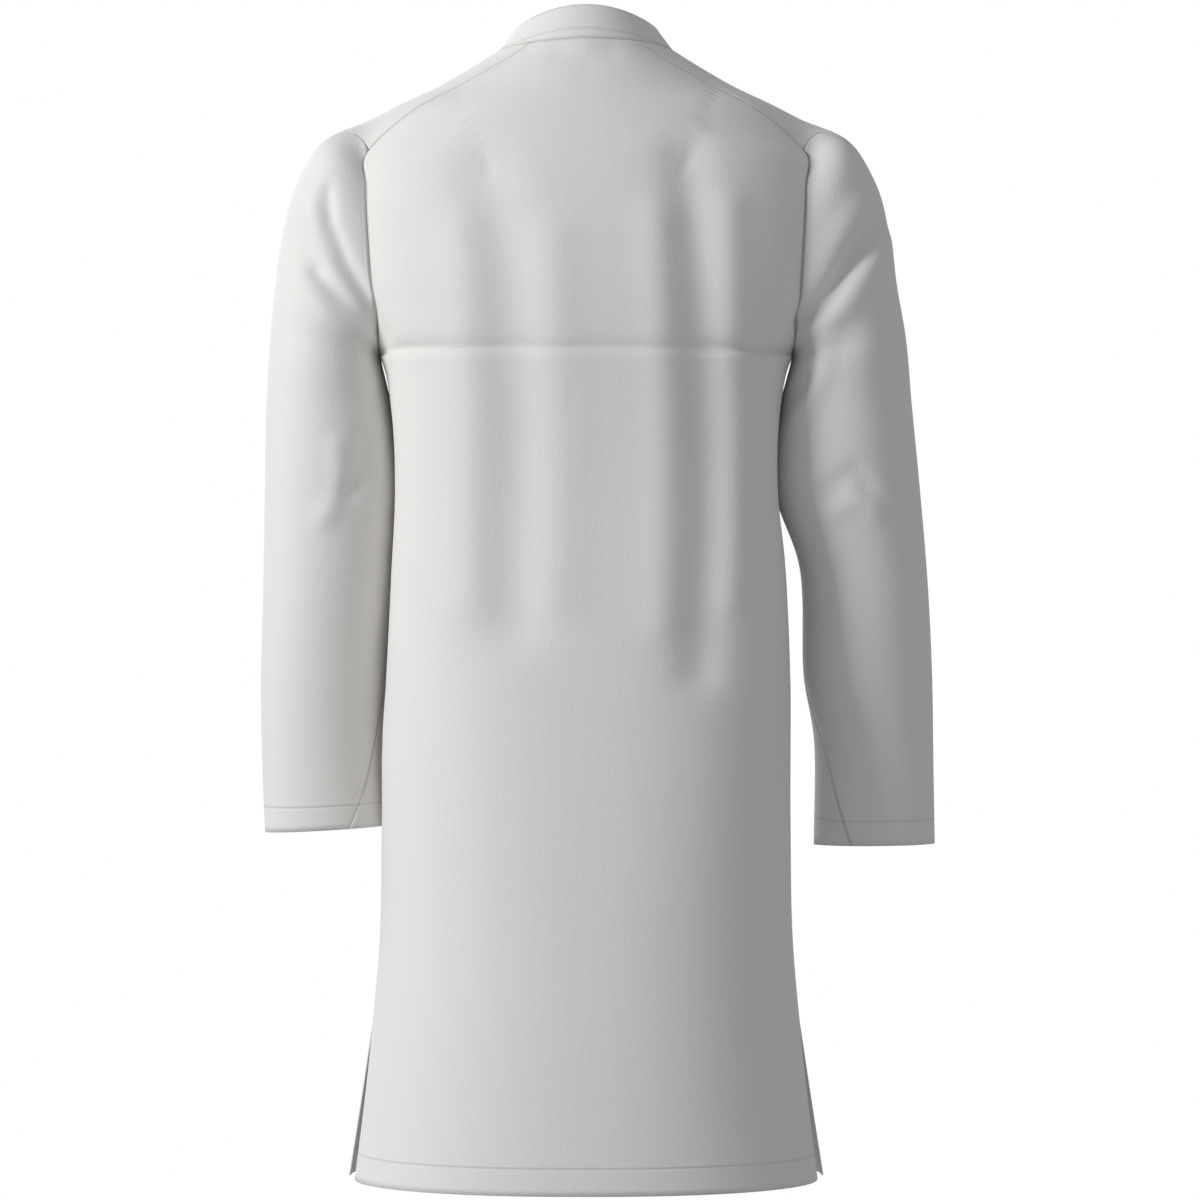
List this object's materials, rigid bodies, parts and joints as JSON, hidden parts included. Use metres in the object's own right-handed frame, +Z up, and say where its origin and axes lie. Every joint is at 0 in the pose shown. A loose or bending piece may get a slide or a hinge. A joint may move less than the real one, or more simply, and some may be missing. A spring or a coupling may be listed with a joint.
{
  "type": "work coat",
  "caption": "Hollow thigh-length work coat with a stand collar, split raglan sleeves, side vents and a stud-fastened front, in its worn shape.",
  "frame": {"origin": "on the centre line at the height of the side neck points, where the shoulders hold the coat", "axes": "+Z up, the coat's front faces -Y, +X towards the wearer's left"},
  "size_m": [0.5939, 0.2845, 1.0138],
  "materials": {
    "cloth": "matte off-white twill with a soft sheen",
    "stud": "satin off-white press-stud cap"
  },
  "bodies": {
    "root": {"back": "cloth", "front_left": "cloth", "front_right": "cloth", "sleeve_front_left": "cloth", "sleeve_front_right": "cloth", "sleeve_back_left": "cloth", "sleeve_back_right": "cloth", "collar": "cloth", "stud_1": "stud", "stud_2": "stud", "stud_3": "stud", "stud_4": "stud", "stud_5": "stud", "stud_6": "stud"}
  },
  "joints": []
}
